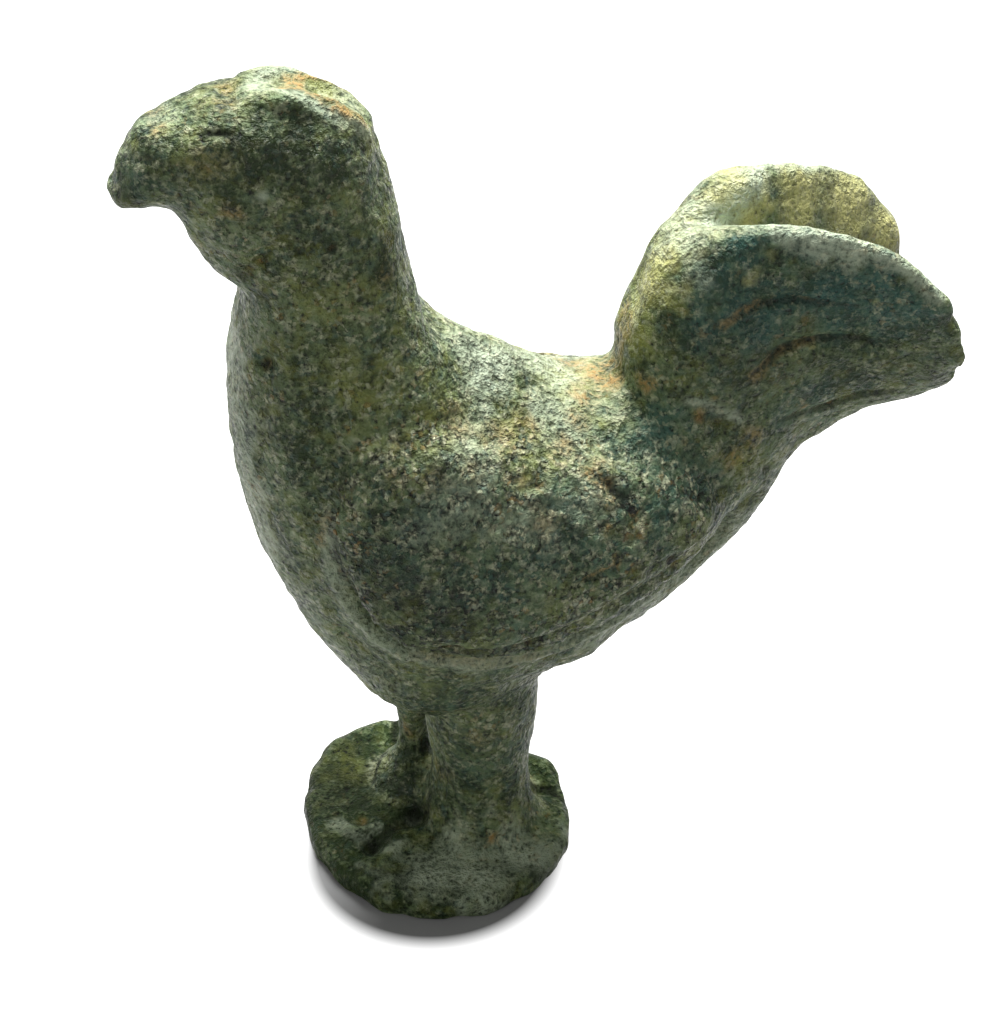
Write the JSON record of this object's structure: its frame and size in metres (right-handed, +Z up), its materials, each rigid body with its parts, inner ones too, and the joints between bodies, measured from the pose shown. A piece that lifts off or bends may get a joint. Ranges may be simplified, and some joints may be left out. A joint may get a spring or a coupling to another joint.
{
  "type": "rooster figurine",
  "caption": "Small cast rooster standing on a round foot plate: arched neck with a low comb, raised wings, a tail of paired plates and stout legs tenoned into the plate.",
  "frame": {"origin": "centre of the foot plate's flat underside", "axes": "+Z up; the bird faces -X, so its left side faces -Y"},
  "size_m": [0.045, 0.0175, 0.0515],
  "materials": {
    "patina_body": "green patina over cast bronze, granular and pitted",
    "patina_comb": "green patina with orange dirt along the ridge",
    "patina_wing": "dark green patina, coarse and granular",
    "patina_tail": "blue-green patina, yellower on the inner faces",
    "patina_leg": "grey-green patina",
    "patina_plate": "dark green patina with worn highlights",
    "bare_bronze": "dull bare bronze inside the joint"
  },
  "bodies": {
    "root": {"body": "patina_body", "comb": "patina_comb", "wing_left": "patina_wing", "wing_right": "patina_wing", "tail_left": "patina_tail", "tail_right": "patina_tail", "tail_rivet": "bare_bronze", "leg_left": "patina_leg", "leg_right": "patina_leg", "foot_plate": "patina_plate"}
  },
  "joints": []
}
